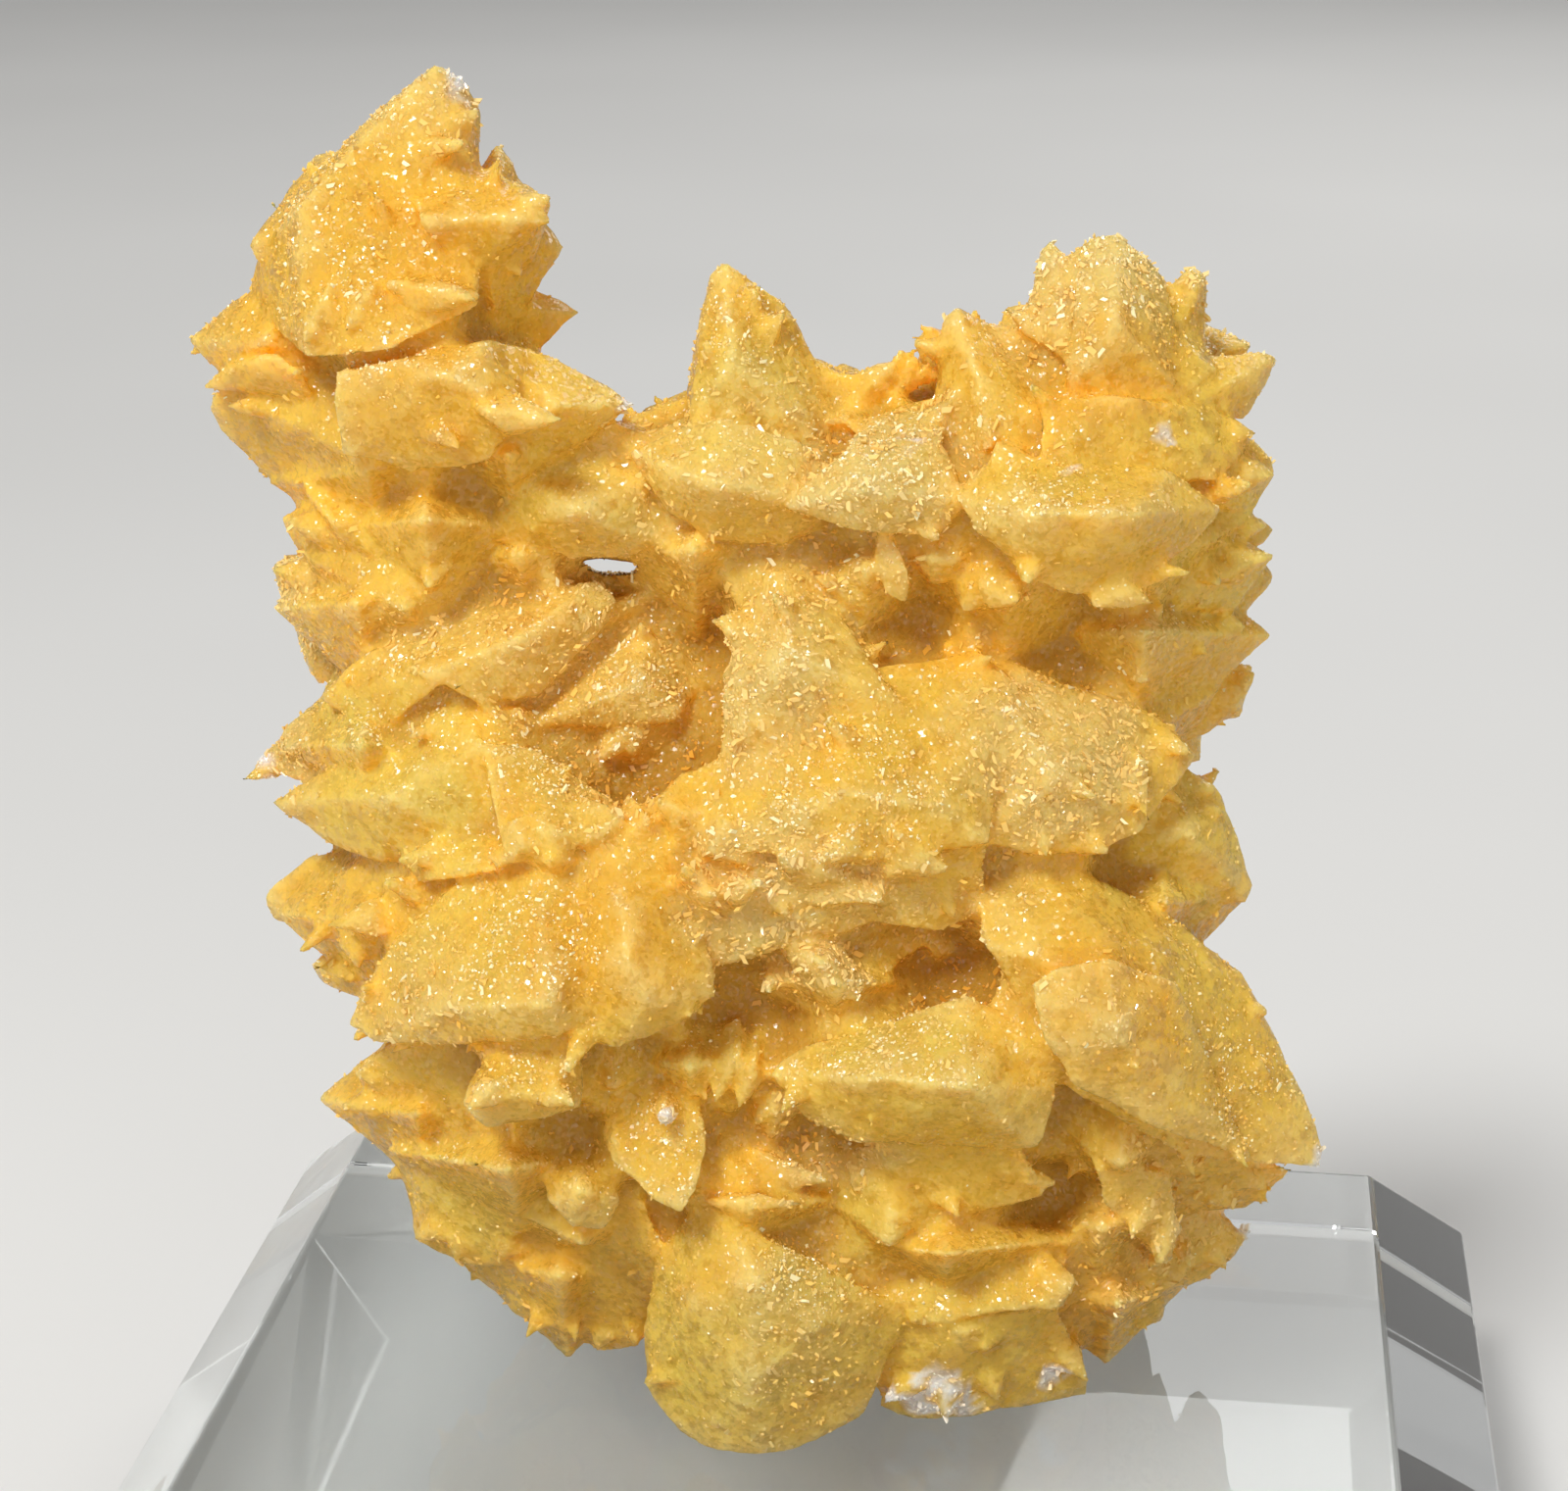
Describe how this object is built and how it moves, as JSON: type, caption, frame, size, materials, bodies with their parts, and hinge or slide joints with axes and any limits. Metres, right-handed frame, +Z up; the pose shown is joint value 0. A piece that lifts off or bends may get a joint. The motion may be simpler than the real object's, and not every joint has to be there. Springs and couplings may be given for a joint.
{
  "type": "selenite on calcite specimen",
  "caption": "Cluster of honey-yellow pointed calcite crystals crusted with sugary selenite, standing on a clear bevelled display block.",
  "frame": {"origin": "the middle of the glass block's underside", "axes": "+Z up through the specimen, -Y towards the specimen's front, +X to the right when facing the front"},
  "size_m": [0.075, 0.075, 0.0901],
  "materials": {
    "calcite": "translucent, sugary and glinting",
    "glass": "clear and polished"
  },
  "bodies": {
    "root": {"calcite_cluster": "calcite", "glass_block": "glass"}
  },
  "joints": []
}
